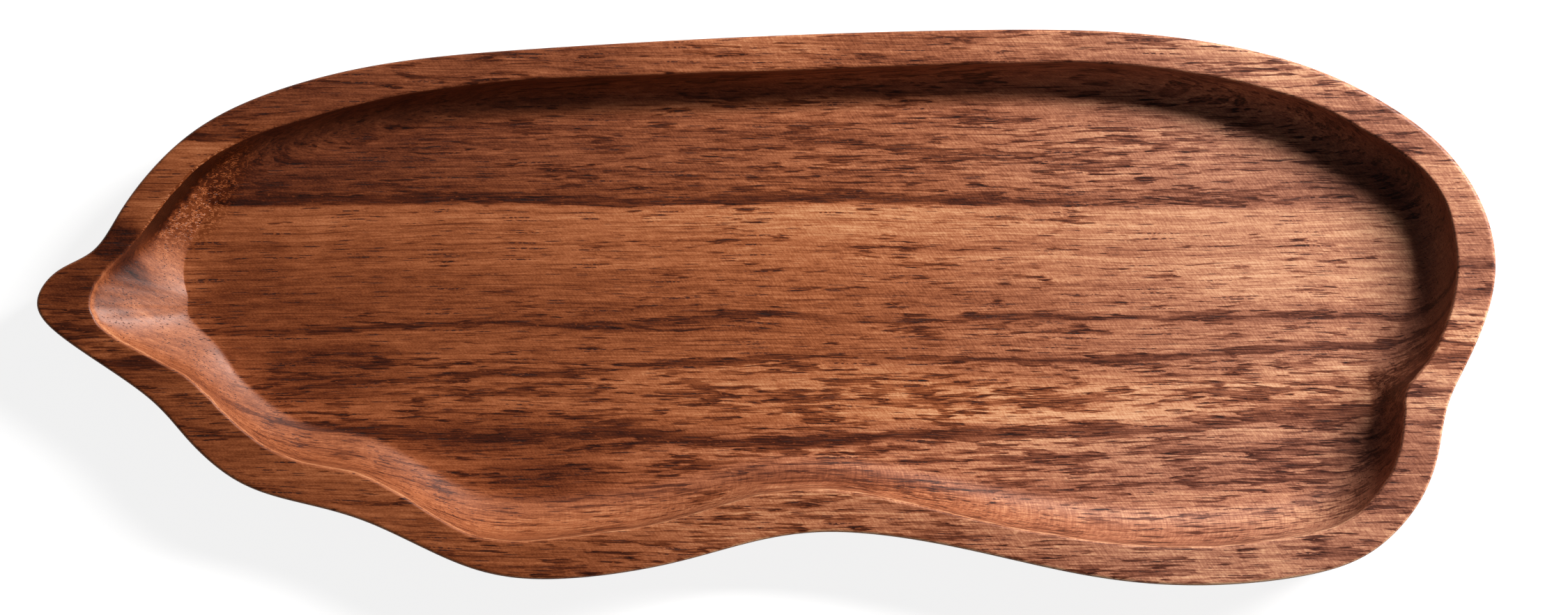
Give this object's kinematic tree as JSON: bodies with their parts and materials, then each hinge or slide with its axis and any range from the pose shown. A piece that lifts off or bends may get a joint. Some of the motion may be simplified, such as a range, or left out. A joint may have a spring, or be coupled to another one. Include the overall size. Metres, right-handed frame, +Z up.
{
  "type": "serving tray",
  "caption": "Free-form wooden serving tray carved from one board, with a flat-floored hollow inside an even rim and a beak at one end.",
  "frame": {"origin": "below the middle of the outline's bounding box, on the surface that the tray rests on", "axes": "+X along the length, away from the beak; +Y across the width, away from the waisted edge; +Z up, out of the hollow"},
  "size_m": [0.33, 0.1256, 0.02],
  "materials": {
    "acacia_wood": "oiled, satin"
  },
  "bodies": {
    "root": {"carved_tray": "acacia_wood"}
  },
  "joints": []
}
